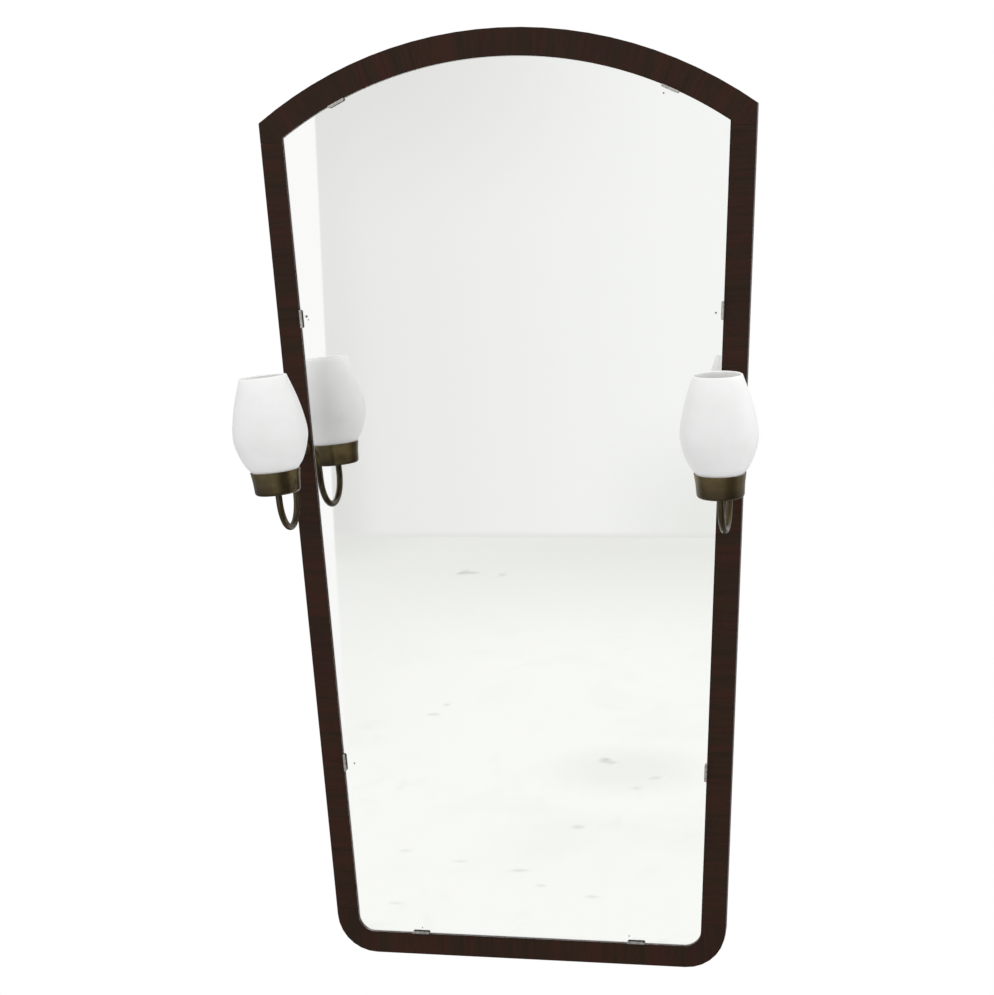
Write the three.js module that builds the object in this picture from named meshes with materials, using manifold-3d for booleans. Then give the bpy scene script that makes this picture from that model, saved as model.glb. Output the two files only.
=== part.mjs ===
// Wall mirror with an arched top, tapering sides and two sconces on swan-neck arms.
// Millimetres, +Z up. The mirror faces -Y and its wall plane is y = 0.
// Inside the mirror's own group z = 0 is the top of the arch and all heights are negative.
import * as THREE from 'three';
import { mergeVertices } from 'three/addons/utils/BufferGeometryUtils.js';
import Module from 'manifold-3d';

// ---- frame -------------------------------------------------------------------------------
const FRAME_HEIGHT = 1450;
const TOP_WIDTH = 760;          // across the two sharp upper corners
const ARCH_RADIUS = 640;        // one circular arc from corner to corner
const SIDE_TAPER = THREE.MathUtils.degToRad(3);
const LOWER_RADIUS = 64;        // rounded lower corners
const BOARD = 25;               // thickness of the frame's members
const ARRIS = 0.8;              // eased outer edge
const STILE_FACE = 37.5;        // wood seen beside the glass
const TOP_FACE = 42;            // wood seen above the glass
const BOTTOM_FACE = 37;         // wood seen below the glass
const LEDGE = 28;               // wood hidden behind the edge of the glass
const OPENING_RADIUS = 8;       // lower corners of the hidden opening
const TOP_JOINT = 7;            // top rail's joint below the inner upper corner
const CLEAR = 0.3;              // working gap between pieces that touch

// ---- joinery -----------------------------------------------------------------------------
const TENON_INSET = 20;         // from the stile's outer edge
const TENON_WIDTH = 28;
const TENON_LENGTH = 18;
const TENON_THICK = 8;

// ---- back panel --------------------------------------------------------------------------
const PANEL_THICK = 4;
const PANEL_RECESS = 11.7;      // from the wall plane to the panel
const PANEL_LAP = 12;           // how far the panel laps over the members
const PANEL_FIT = 0.5;          // play round the panel in its rebate
const PANEL_SCREW_HEIGHTS = [-480, -1020];
const PANEL_SCREW_RADIUS = 1.5;
const PANEL_SCREW_LENGTH = 11;

// ---- mirror plate and its clips ----------------------------------------------------------
const GLASS_THICK = 5;
const GLASS_ARRIS = 0.6;
const CLIP_GAUGE = 0.9;         // sheet steel
const CLIP_WIDTH = 28;
const CLIP_FOOT = 16;           // behind the glass
const CLIP_LIP = 3.6;           // over the glass
const CLIP_CORNER = 2.6;
const CLIP_HOLE = 9;            // screw's distance inside the edge of the glass
const CLIP_SCREW_RADIUS = 1.4;
const CLIP_SCREW_LENGTH = 14;
const ARCH_CLIP_INSET = 87;     // from the glass's upper corner
const UPPER_CLIP_Z = -425;
const LOWER_CLIP_Z = -1133;
const BOTTOM_CLIP_INSET = 101;  // from the line of the glass's side

// ---- hangers and wiring at the back ------------------------------------------------------
const HANGER_INSET = 191;       // from the glass's upper corner
const HANGER_WIDTH = 20;
const HANGER_HEIGHT = 44;
const HANGER_GAUGE = 2;
const HANGER_SCREW = 16.5;      // above and below the plate's middle
const HANGER_SCREW_RADIUS = 1.6;
const HANGER_SCREW_LENGTH = 15;
const KEYHOLE_RADIUS = 4.6;
const KEYHOLE_SLOT = 5.2;
const KEYHOLE_RISE = 9;
const HEAD_POCKET = 11;         // hollow behind the plate for the wall screw's head
const TERMINAL = new THREE.Vector3(36, 10, 17);
const TERMINAL_Z = -632;
const TERMINAL_WEB_DEPTH = 6;   // its bar lies this far below the barrels' tops
const TERMINAL_WAYS = 4;
const TERMINAL_BARREL = 6;
const TERMINAL_GAP = 6;         // extra room in the middle for its fixing screw
const WIRE_BORE = 1.6;
const TERMINAL_SCREW_RADIUS = 1.3;
const TERMINAL_SCREW_LENGTH = 8;
const GROOVE = 7;               // wire groove from each arm to the panel

// ---- sconces -----------------------------------------------------------------------------
const LEFT_ROOT_INSET = 21.8;   // arm's root from the outer edge of the stile
const RIGHT_ROOT_INSET = 16.7;
const LEFT_ROOT_Z = -626.7;
const RIGHT_ROOT_Z = -629.8;
const LEFT_LEAN = THREE.MathUtils.degToRad(4.7);    // lamp's top outwards, arm turned on its root
const RIGHT_LEAN = 0;
const LEFT_NOD = THREE.MathUtils.degToRad(0.8);     // lamp's top forwards, left over by the half turn
const RIGHT_NOD = THREE.MathUtils.degToRad(3.5);
const TOE_IN = THREE.MathUtils.degToRad(2.2);       // lamp inwards, about the arm's hanging leg
const REACH = 158;              // from the frame's face to the cup's axis
const TUBE_RADIUS = 5;
const TUBE_BORE = 2.8;
const BEND_RADIUS = 40;         // quarter bend after the root
const TURN_RADIUS = 46;         // half turn under the cup
const CUP_DROP = 46;            // cup's underside below the root
const LEG = 13;                 // straight front leg under the cup
const COUNTERBORE_RADIUS = 12;
const COUNTERBORE = 9;
const STUD_END = 1.5;           // arm's rear end in front of the wall plane
const ROSETTE_RADIUS = 11;
const ROSETTE_HEIGHT = 5;
const ROSETTE_LIP = 1.2;        // flat ring around the tube
const COLLAR_RADIUS = 8.5;
const COLLAR_HEIGHT = 4;
const COLLAR_CHAMFER = 1;
const NUT_FLATS = 17;
const NUT_HEIGHT = 5;
const WASHER_RADIUS = 10.5;
const WASHER_THICK = 1.5;

const CUP_BASE_RADIUS = 34;
const CUP_TOP_RADIUS = 37.4;
const CUP_HEIGHT = 35;
const CUP_WALL = 1.2;
const CUP_CORNER = 5;
const CUP_CORNER_STEPS = 3;
const CUP_NUT_FLATS = 14;
const CUP_NUT_HEIGHT = 4;
const THREAD_RADIUS = 4;        // arm's front end, stepped down to seat the cup
const THREAD_LENGTH = 12;       // above the cup's underside

const HOLDER_RADIUS = 14;
const HOLDER_HEIGHT = 40;
const HOLDER_FOOT = new THREE.Vector2(3, 4);        // slope at its foot, inwards and upwards
const SOCKET_RADIUS = 8;
const SOCKET_DEPTH = 28;
const WIRE_HOLE = 2.5;          // radius, between the arm's end and the socket
const CAP_RADIUS = 6.8;
const CAP_LENGTH = 25;
const CAP_CONTACT = 2;          // height of its foot contact
const CAP_CONE = 4;             // height at which the cone above it ends
const BULB_RADIUS = 17.5;
const BULB_LENGTH = 74;

const SHADE_WALL = 3;
// Outer line of the opal shade: radius, height above the cup's underside.
const SHADE_FOOT = new THREE.Vector2(29, 1.5);
const SHADE_STEM = new THREE.Vector2(33.2, 17);
const SHADE_NECK = new THREE.Vector2(35.4, 34.5);
const SHADE_SHOULDER = new THREE.Vector2(43.3, 46.5);
const SHADE_FLARE = new THREE.Vector2(51.5, 66.5);
const SHADE_BELLY = new THREE.Vector2(55.8, 92.5);
const SHADE_WAIST = new THREE.Vector2(48.2, 134.5);
const SHADE_RIM = new THREE.Vector2(35.4, 174.5);

// ---- finishes ----------------------------------------------------------------------------
function finish(color, roughness, metalness) {
  return new THREE.MeshStandardMaterial({ color, roughness, metalness });
}
const veneer = finish(0x3a231c, 0.42, 0);
const plywood = finish(0xa98357, 0.8, 0);
const mirror = finish(0xe4e8e6, 0.03, 1);
const clipSteel = finish(0xb4b1ac, 0.35, 1);
const screwSteel = finish(0x8e8b86, 0.4, 1);
const brass = finish(0x6a5a3e, 0.38, 1);
const opal = finish(0xf1f0ec, 0.28, 0);
const bulbGlass = finish(0xf4f2ea, 0.2, 0);
const bakelite = finish(0x1d1916, 0.45, 0);

// ---- solids ------------------------------------------------------------------------------
const wasm = await Module();
wasm.setup();

// Drops the triangles that a revolved profile leaves on its axis.
function withoutSlivers(index) {
  const kept = [];
  for (let i = 0; i < index.length; i += 3) {
    const [a, b, c] = [index[i], index[i + 1], index[i + 2]];
    if (a !== b && b !== c && c !== a) kept.push(a, b, c);
  }
  return new Uint32Array(kept);
}

function solidOf(geometry) {
  const bare = geometry.clone();
  bare.deleteAttribute('normal');
  bare.deleteAttribute('uv');
  const welded = mergeVertices(bare, 1e-4);
  return new wasm.Manifold(new wasm.Mesh({
    numProp: 3,
    vertProperties: new Float32Array(welded.attributes.position.array),
    triVerts: withoutSlivers(welded.index.array),
  }));
}

function geometryOf(solid) {
  const mesh = solid.getMesh();
  const geometry = new THREE.BufferGeometry();
  geometry.setAttribute('position', new THREE.BufferAttribute(mesh.vertProperties, 3));
  geometry.setIndex(new THREE.BufferAttribute(mesh.triVerts, 1));
  geometry.computeVertexNormals();
  return geometry;
}

const cut = (solid, tools) => tools.reduce((rest, tool) => rest.subtract(tool), solid);
const join = (first, ...others) => others.reduce((sum, other) => sum.add(other), first);

// A plate whose outline lies in X and Z, from y = front to y = back.
function plate(shape, front, back, arris = 0, curveSegments = 6) {
  const geometry = new THREE.ExtrudeGeometry(shape, {
    depth: back - front - 2 * arris,
    bevelEnabled: arris > 0,
    bevelThickness: arris,
    bevelSize: arris,
    bevelOffset: -arris,
    bevelSegments: 1,
    curveSegments,
  });
  return geometry.rotateX(Math.PI / 2).translate(0, back - arris, 0);
}

// A box given by its lowest and highest corners.
function block(x0, y0, z0, x1, y1, z1) {
  const geometry = new THREE.BoxGeometry(x1 - x0, y1 - y0, z1 - z0);
  return geometry.translate((x0 + x1) / 2, (y0 + y1) / 2, (z0 + z1) / 2);
}

// A solid of revolution about Z from [radius, height] pairs.
function revolve(profile, segments) {
  const points = profile.map(([radius, height]) => new THREE.Vector2(radius, height));
  return new THREE.LatheGeometry(points, segments).rotateX(Math.PI / 2);
}

// A revolved ring: the profile is closed on its first point.
const ring = (profile, segments) => revolve([...profile, profile[0]], segments);

function hexagon(flats, hole) {
  const shape = new THREE.Shape();
  const corner = flats / Math.sqrt(3);
  for (let i = 0; i < 6; i += 1) {
    const angle = (i * Math.PI) / 3;
    shape[i ? 'lineTo' : 'moveTo'](corner * Math.cos(angle), corner * Math.sin(angle));
  }
  shape.holes.push(new THREE.Path().absarc(0, 0, hole, 0, 2 * Math.PI));
  return shape;
}

// ---- outline of the mirror ---------------------------------------------------------------
const ARCH_STEPS = 24;
const CORNER_STEPS = 7;
const halfTop = TOP_WIDTH / 2;
const archDrop = ARCH_RADIUS - Math.sqrt(ARCH_RADIUS ** 2 - halfTop ** 2);
const taper = Math.tan(SIDE_TAPER);

// X of the right side at height z, moved inwards by inset.
const sideX = (z, inset) => halfTop + (z + archDrop) * taper - inset / Math.cos(SIDE_TAPER);

// Height of the arch at x, moved inwards by inset.
const archZ = (x, inset) => Math.sqrt((ARCH_RADIUS - inset) ** 2 - x ** 2) - ARCH_RADIUS;

// Where the inset side meets the inset arch.
function upperCorner(side, top) {
  const x = sideX(0, side);
  const a = 1 + taper ** 2;
  const b = x * taper + ARCH_RADIUS;
  const c = x ** 2 + ARCH_RADIUS ** 2 - (ARCH_RADIUS - top) ** 2;
  const z = (Math.sqrt(b ** 2 - a * c) - b) / a;
  return new THREE.Vector2(sideX(z, side), z);
}

function arcPoints(x, z, radius, from, to, steps) {
  const points = [];
  for (let i = 0; i <= steps; i += 1) {
    const angle = from + ((to - from) * i) / steps;
    points.push(new THREE.Vector2(x + radius * Math.cos(angle), z + radius * Math.sin(angle)));
  }
  return points;
}

// The mirror's outline with its sides, arch and foot moved inwards.
function outline(side, top, bottom, radius) {
  const z = -FRAME_HEIGHT + bottom + radius;
  const x = sideX(z, side + radius);
  const corner = upperCorner(side, top);
  const start = Math.atan2(corner.y + ARCH_RADIUS, corner.x);
  return new THREE.Shape([
    ...arcPoints(x, z, radius, -Math.PI / 2, -SIDE_TAPER, CORNER_STEPS),
    ...arcPoints(0, -ARCH_RADIUS, ARCH_RADIUS - top, start, Math.PI - start, ARCH_STEPS),
    ...arcPoints(-x, z, radius, Math.PI + SIDE_TAPER, 1.5 * Math.PI, CORNER_STEPS),
  ]);
}

const glassCorner = upperCorner(STILE_FACE, TOP_FACE);
const glassFoot = -FRAME_HEIGHT + BOTTOM_FACE;
const archClipX = glassCorner.x - ARCH_CLIP_INSET;
const bottomClipX = sideX(glassFoot, STILE_FACE) - BOTTOM_CLIP_INSET;
const hangerX = glassCorner.x - HANGER_INSET;
const roots = [
  { side: 'left', sign: -1, inset: LEFT_ROOT_INSET, z: LEFT_ROOT_Z, lean: LEFT_LEAN, nod: LEFT_NOD },
  { side: 'right', sign: 1, inset: RIGHT_ROOT_INSET, z: RIGHT_ROOT_Z, lean: RIGHT_LEAN, nod: RIGHT_NOD },
];
const rootX = ({ sign, inset, z }) => sign * sideX(z, inset);

const FACE = -BOARD;            // y of the frame's front
const glassBack = FACE - CLEAR;
const glassFront = glassBack - GLASS_THICK;
const fullDepth = TOP_FACE + LEDGE - PANEL_LAP;     // band of the arch that reaches the wall
const panelFront = -PANEL_RECESS - PANEL_THICK;
const rebateFloor = panelFront - CLEAR;

// ---- screws ------------------------------------------------------------------------------
// Countersunk screw with its head's face at z = 0 and its tip below; grow widens it to a hole.
function countersunk(radius, length, grow = 0) {
  const shank = radius + grow;
  const head = 2 * radius + grow;
  return revolve([
    [0, -length - grow], [shank, -length + radius - grow], [shank, -radius - grow],
    [head, -grow], [head, grow], [0, grow],
  ], 10);
}

// Round-headed screw with the underside of its head at z = 0.
function roundHead(radius, length, grow = 0) {
  const shank = radius + grow;
  return revolve([
    [0, -length - grow], [shank, -length + radius - grow], [shank, 0], [2.1 * radius, 0],
    [1.9 * radius, 0.7 * radius], [1.1 * radius, 1.2 * radius], [0, 1.3 * radius],
  ], 10);
}

// Cuts a driver's slot into a head whose top is at height top.
function slotted(geometry, top, radius) {
  const half = 0.25 * radius;
  const slot = block(-3 * radius, -half, top - 2 * half, 3 * radius, half, top + 1);
  return geometryOf(cut(solidOf(geometry), [solidOf(slot)]));
}

// Turns a piece made along +Z so that its upper end faces the viewer or the wall.
const facingFront = (geometry) => geometry.rotateX(Math.PI / 2);
const facingWall = (geometry) => geometry.rotateX(-Math.PI / 2);

// ---- assembly ----------------------------------------------------------------------------
const part = new THREE.Group();
const body = new THREE.Group();
body.position.z = fullDepth / 2;    // the origin is in the middle of the arch's full-depth band
part.add(body);

function put(name, geometry, material, parent = body, x = 0, y = 0, z = 0) {
  const mesh = new THREE.Mesh(geometry, material);
  mesh.name = name;
  mesh.position.set(x, y, z);
  parent.add(mesh);
  return mesh;
}

// ---- clips: places round the glass, each turned so that its own +Z points outwards --------
const glassArc = ARCH_RADIUS - TOP_FACE;
const sideTurn = Math.PI / 2 + SIDE_TAPER;
const clipPlaces = [];
for (const [side, sign] of [['left', -1], ['right', 1]]) {
  const archTurn = sign * Math.asin(archClipX / glassArc);
  const onSide = (z) => sign * sideX(z, STILE_FACE);
  clipPlaces.push(
    { name: `top_${side}`, x: sign * archClipX, z: archZ(archClipX, TOP_FACE), turn: archTurn },
    { name: `upper_${side}`, x: onSide(UPPER_CLIP_Z), z: UPPER_CLIP_Z, turn: sign * sideTurn },
    { name: `lower_${side}`, x: onSide(LOWER_CLIP_Z), z: LOWER_CLIP_Z, turn: sign * sideTurn },
    { name: `bottom_${side}`, x: sign * bottomClipX, z: glassFoot, turn: Math.PI },
  );
}
const clipOuter = CLEAR + CLIP_GAUGE;
const clipFloor = FACE + CLIP_GAUGE + CLEAR;
const placed = (geometry, { x, z, turn }) => geometry.rotateY(turn).translate(x, 0, z);

// Tongue with two rounded inner corners, from z = -length to z = outer.
function tongue(length, front, back) {
  const half = CLIP_WIDTH / 2;
  const shape = new THREE.Shape();
  shape.moveTo(half, clipOuter);
  shape.lineTo(-half, clipOuter);
  shape.absarc(-half + CLIP_CORNER, -length + CLIP_CORNER, CLIP_CORNER, Math.PI, 1.5 * Math.PI);
  shape.absarc(half - CLIP_CORNER, -length + CLIP_CORNER, CLIP_CORNER, 1.5 * Math.PI, 2 * Math.PI);
  return plate(shape, front, back, 0, 2);
}

const clipScrewHole = () => facingFront(countersunk(CLIP_SCREW_RADIUS, CLIP_SCREW_LENGTH, CLEAR))
  .translate(0, FACE, -CLIP_HOLE);

function clipGeometry() {
  const half = CLIP_WIDTH / 2;
  const lipBack = glassFront - CLEAR;
  const lipFront = lipBack - CLIP_GAUGE;
  const foot = solidOf(tongue(CLIP_FOOT, FACE, FACE + CLIP_GAUGE));
  const lip = solidOf(tongue(CLIP_LIP, lipFront, lipBack));
  const riser = solidOf(block(-half, lipFront, CLEAR, half, FACE + CLIP_GAUGE, clipOuter));
  return geometryOf(cut(join(foot, lip, riser), [solidOf(clipScrewHole())]));
}

function clipPocket() {
  const half = CLIP_WIDTH / 2 + CLEAR;
  return block(-half, FACE - 1, -CLIP_FOOT - CLEAR, half, clipFloor, clipOuter + CLEAR);
}

// ---- hangers: keyhole plates let into the back of the top rail ----------------------------
const hangerZ = archZ(hangerX, fullDepth / 2);

// Upright bar with round ends.
function stadium(width, height) {
  const radius = width / 2;
  const rise = height / 2 - radius;
  const shape = new THREE.Shape().absarc(0, rise, radius, 0, Math.PI);
  return shape.absarc(0, -rise, radius, Math.PI, 2 * Math.PI);
}

function keyhole(radius, slot, rise) {
  const path = new THREE.Shape();
  const angle = Math.asin(slot / 2 / radius);
  path.absarc(0, 0, radius, Math.PI / 2 + angle, 2.5 * Math.PI - angle);
  path.absarc(0, rise, slot / 2, 0, Math.PI);
  return path;
}

const hangerScrewHoles = () => [-HANGER_SCREW, HANGER_SCREW].map((z) => (
  facingWall(countersunk(HANGER_SCREW_RADIUS, HANGER_SCREW_LENGTH, CLEAR)).translate(0, 0, z)
));

function hangerGeometry() {
  const shape = stadium(HANGER_WIDTH, HANGER_HEIGHT);
  shape.holes.push(keyhole(KEYHOLE_RADIUS, KEYHOLE_SLOT, KEYHOLE_RISE));
  return geometryOf(cut(solidOf(plate(shape, -HANGER_GAUGE, 0)), hangerScrewHoles().map(solidOf)));
}

// Seat for the plate, room for the wall screw's head behind it, and the plate's own screw holes.
function hangerPockets(x) {
  const seat = plate(stadium(HANGER_WIDTH + 2 * CLEAR, HANGER_HEIGHT + 2 * CLEAR), -HANGER_GAUGE - CLEAR, 1);
  const head = block(
    -KEYHOLE_RADIUS, -HANGER_GAUGE - HEAD_POCKET, -KEYHOLE_RADIUS,
    KEYHOLE_RADIUS, 1, KEYHOLE_RISE + KEYHOLE_RADIUS,
  );
  return [seat, head, ...hangerScrewHoles()].map((geometry) => solidOf(geometry.translate(x, 0, hangerZ)));
}

// ---- back panel's screws -----------------------------------------------------------------
const panelEdge = (face) => face + LEDGE - PANEL_LAP;
const panelScrews = [
  { name: 'top', x: 0, z: archZ(0, panelEdge(TOP_FACE) + PANEL_LAP / 2) },
  { name: 'bottom', x: 0, z: -FRAME_HEIGHT + panelEdge(BOTTOM_FACE) + PANEL_LAP / 2 },
];
for (const [index, z] of PANEL_SCREW_HEIGHTS.entries()) {
  const x = sideX(z, panelEdge(STILE_FACE) + PANEL_LAP / 2);
  panelScrews.push({ name: `left_${index + 1}`, x: -x, z }, { name: `right_${index + 1}`, x, z });
}
const panelScrewSeat = -PANEL_RECESS + CLEAR;

function panelScrewHole({ x, z }) {
  const hole = facingWall(roundHead(PANEL_SCREW_RADIUS, PANEL_SCREW_LENGTH, CLEAR));
  return solidOf(hole.translate(x, panelScrewSeat, z));
}

// ---- frame members -----------------------------------------------------------------------
const outer = solidOf(plate(outline(0, 0, 0, LOWER_RADIUS), FACE, 0, ARRIS));
const opening = solidOf(plate(
  outline(STILE_FACE + LEDGE, TOP_FACE + LEDGE, BOTTOM_FACE + LEDGE, OPENING_RADIUS), FACE - 1, 1,
));
const rebate = solidOf(plate(
  outline(panelEdge(STILE_FACE), panelEdge(TOP_FACE), panelEdge(BOTTOM_FACE), OPENING_RADIUS), rebateFloor, 1,
));

// Hole, counterbore and wire groove for one arm.
function armSeat(root) {
  const { sign, z } = root;
  const x = rootX(root);
  const bore = plate(new THREE.Shape().absarc(0, 0, TUBE_RADIUS + CLEAR, 0, 2 * Math.PI), FACE - 1, 1);
  const well = plate(new THREE.Shape().absarc(0, 0, COUNTERBORE_RADIUS, 0, 2 * Math.PI), -COUNTERBORE, 1);
  const inner = sign * sideX(z, panelEdge(STILE_FACE) + 1);
  const groove = block(
    Math.min(x, inner), -COUNTERBORE, z - GROOVE / 2,
    Math.max(x, inner), 1, z + GROOVE / 2,
  );
  return [bore.translate(x, 0, z), well.translate(x, 0, z), groove].map(solidOf);
}

const blank = cut(outer, [
  opening,
  rebate,
  ...clipPlaces.map((place) => solidOf(placed(clipPocket(), place))),
  ...clipPlaces.map((place) => solidOf(placed(clipScrewHole(), place))),
  ...hangerPockets(-hangerX),
  ...hangerPockets(hangerX),
  ...panelScrews.map(panelScrewHole),
  ...roots.flatMap(armSeat),
]);

const topJoint = glassCorner.y - TOP_JOINT;
const bottomJoint = -FRAME_HEIGHT + BOTTOM_FACE + LEDGE + OPENING_RADIUS;

// Tenon standing on a stile's end at height z, grown by grow on every side.
function tenon(sign, z, up, grow = 0) {
  const outerX = sideX(z, TENON_INSET) + grow;
  const innerX = outerX - TENON_WIDTH - 2 * grow;
  const middle = FACE / 2;
  const tip = z + up * (TENON_LENGTH + grow);
  const root = z - up;
  return solidOf(block(
    Math.min(sign * innerX, sign * outerX), middle - TENON_THICK / 2 - grow, Math.min(root, tip),
    Math.max(sign * innerX, sign * outerX), middle + TENON_THICK / 2 + grow, Math.max(root, tip),
  ));
}

const between = (x0, z0, x1, z1) => solidOf(block(x0, FACE - 1, z0, x1, 1, z1));
const span = TOP_WIDTH;         // wider than the mirror, for the cutting blocks
const mortises = (z, up) => [-1, 1].map((sign) => tenon(sign, z, up, CLEAR));

const topRail = cut(blank.intersect(between(-span, topJoint + CLEAR, span, 1)), mortises(topJoint, 1));
const bottomRail = cut(
  blank.intersect(between(-span, -FRAME_HEIGHT - 1, span, bottomJoint - CLEAR)), mortises(bottomJoint, -1),
);
put('top_rail', geometryOf(topRail), veneer);
put('bottom_rail', geometryOf(bottomRail), veneer);
for (const [side, sign] of [['left', -1], ['right', 1]]) {
  const half = between(Math.min(0, sign * span), bottomJoint, Math.max(0, sign * span), topJoint);
  const stile = join(blank.intersect(half), tenon(sign, topJoint, 1), tenon(sign, bottomJoint, -1));
  put(`${side}_stile`, geometryOf(stile), veneer);
}

// ---- back panel and what is on it --------------------------------------------------------
const terminalBack = -PANEL_RECESS + CLEAR + TERMINAL.y;
const terminalSeat = terminalBack - TERMINAL_WEB_DEPTH + CLEAR;     // under the screw's head

function terminalHole() {
  const hole = facingWall(roundHead(TERMINAL_SCREW_RADIUS, TERMINAL_SCREW_LENGTH, CLEAR));
  return solidOf(hole.translate(0, terminalSeat, TERMINAL_Z));
}

const panel = cut(solidOf(plate(
  outline(
    panelEdge(STILE_FACE) + PANEL_FIT, panelEdge(TOP_FACE) + PANEL_FIT, panelEdge(BOTTOM_FACE) + PANEL_FIT,
    OPENING_RADIUS - PANEL_FIT,
  ),
  panelFront, -PANEL_RECESS,
)), [
  ...panelScrews.map(panelScrewHole),
  terminalHole(),
]);
put('back_panel', geometryOf(panel), plywood);
for (const place of panelScrews) {
  const geometry = facingWall(slotted(
    roundHead(PANEL_SCREW_RADIUS, PANEL_SCREW_LENGTH), 1.3 * PANEL_SCREW_RADIUS, PANEL_SCREW_RADIUS,
  ));
  put(`panel_screw_${place.name}`, geometry, screwSteel, body, place.x, panelScrewSeat, place.z);
}

// Terminal block: a bar with one raised barrel for each way, bored along Z for the wires.
function terminalSolid() {
  const { x: w, y: d, z: h } = TERMINAL;
  const pitch = (w - TERMINAL_GAP) / TERMINAL_WAYS;
  const half = TERMINAL_BARREL / 2;
  const front = terminalBack - d;
  const bar = solidOf(block(-w / 2, front, -h / 2, w / 2, terminalBack - TERMINAL_WEB_DEPTH, h / 2));
  const barrels = [];
  const bores = [];
  for (let i = 0; i < TERMINAL_WAYS; i += 1) {
    const place = i - (TERMINAL_WAYS - 1) / 2;
    const x = place * pitch + (Math.sign(place) * TERMINAL_GAP) / 2;
    barrels.push(solidOf(block(x - half, front, -0.4 * h, x + half, terminalBack, 0.4 * h)));
    const wire = new THREE.CylinderGeometry(WIRE_BORE, WIRE_BORE, h + 2, 10).rotateX(Math.PI / 2);
    bores.push(solidOf(wire.translate(x, front + d / 2, 0)));
  }
  return cut(join(bar, ...barrels), bores);
}
const terminal = terminalSolid().translate([0, 0, TERMINAL_Z]).subtract(terminalHole());
put('terminal_block', geometryOf(terminal), bakelite);
const terminalScrew = facingWall(slotted(
  roundHead(TERMINAL_SCREW_RADIUS, TERMINAL_SCREW_LENGTH), 1.3 * TERMINAL_SCREW_RADIUS, TERMINAL_SCREW_RADIUS,
));
put('terminal_screw', terminalScrew, screwSteel, body, 0, terminalSeat, TERMINAL_Z);

// ---- hangers -----------------------------------------------------------------------------
for (const [side, sign] of [['left', -1], ['right', 1]]) {
  put(`hanger_${side}`, hangerGeometry(), screwSteel, body, sign * hangerX, 0, hangerZ);
  for (const [level, up] of [['upper', 1], ['lower', -1]]) {
    const geometry = facingWall(slotted(
      countersunk(HANGER_SCREW_RADIUS, HANGER_SCREW_LENGTH), 0, HANGER_SCREW_RADIUS,
    ));
    const z = hangerZ + up * HANGER_SCREW;
    put(`hanger_screw_${side}_${level}`, geometry, screwSteel, body, sign * hangerX, 0, z);
  }
}

// ---- mirror plate and clips --------------------------------------------------------------
const glassOutline = outline(STILE_FACE, TOP_FACE, BOTTOM_FACE, LOWER_RADIUS - STILE_FACE);
put('mirror_glass', plate(glassOutline, glassFront, glassBack, GLASS_ARRIS), mirror);
for (const place of clipPlaces) {
  const clip = put(`clip_${place.name}`, clipGeometry(), clipSteel, body, place.x, 0, place.z);
  clip.rotation.y = place.turn;
  const screw = facingFront(slotted(
    countersunk(CLIP_SCREW_RADIUS, CLIP_SCREW_LENGTH), 0, CLIP_SCREW_RADIUS,
  )).translate(0, FACE, -CLIP_HOLE);
  put(`clip_screw_${place.name}`, screw, screwSteel, body, place.x, 0, place.z).rotation.y = place.turn;
}

// ---- sconce arm --------------------------------------------------------------------------
// A rod bent in the plane x = 0: straight runs and circular bends, one after the other. What lies in
// front of the hinge, a value of y, swings sideways about the upright line there.
class BentRod extends THREE.Curve {
  constructor(y, z, heading, moves, hinge, swing) {
    super();
    this.start = { y, z, heading };
    this.moves = moves;
    this.hinge = hinge;
    this.swing = swing;
    this.length = moves.reduce((sum, move) => sum + (move.run ?? move.radius * Math.abs(move.turn)), 0);
  }

  getPoint(t, target = new THREE.Vector3()) {
    let left = t * this.length;
    let { y, z, heading } = this.start;
    for (const move of this.moves) {
      const length = move.run ?? move.radius * Math.abs(move.turn);
      const step = Math.min(left, length);
      if (move.run) {
        y += step * Math.cos(heading);
        z += step * Math.sin(heading);
      } else {
        const sense = Math.sign(move.turn);
        const next = heading + (sense * step) / move.radius;
        y += sense * move.radius * (Math.sin(next) - Math.sin(heading));
        z -= sense * move.radius * (Math.cos(next) - Math.cos(heading));
        heading = next;
      }
      left -= step;
    }
    const ahead = Math.min(0, y - this.hinge);
    return target.set(ahead * Math.sin(this.swing), y - ahead + ahead * Math.cos(this.swing), z);
  }
}

const stub = REACH - BEND_RADIUS - 2 * TURN_RADIUS;
const studEnd = BOARD - STUD_END;
const armPath = ({ sign, nod }) => new BentRod(studEnd, 0, Math.PI, [
  { run: studEnd + stub },
  { radius: BEND_RADIUS, turn: Math.PI / 2 },
  { run: CUP_DROP + LEG - BEND_RADIUS },
  { radius: TURN_RADIUS, turn: nod - Math.PI },
  { run: LEG - CLEAR },
], -stub - BEND_RADIUS, sign * TOE_IN);

// Place of a lamp on its arm: the cup's underside, square to the arm's front end.
function lampPlace(path) {
  const up = path.getTangent(1);
  const tilt = new THREE.Quaternion().setFromUnitVectors(new THREE.Vector3(0, 0, 1), up);
  const foot = path.getPoint(1).addScaledVector(up, CLEAR);
  return new THREE.Matrix4().compose(foot, tilt, new THREE.Vector3(1, 1, 1));
}

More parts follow.
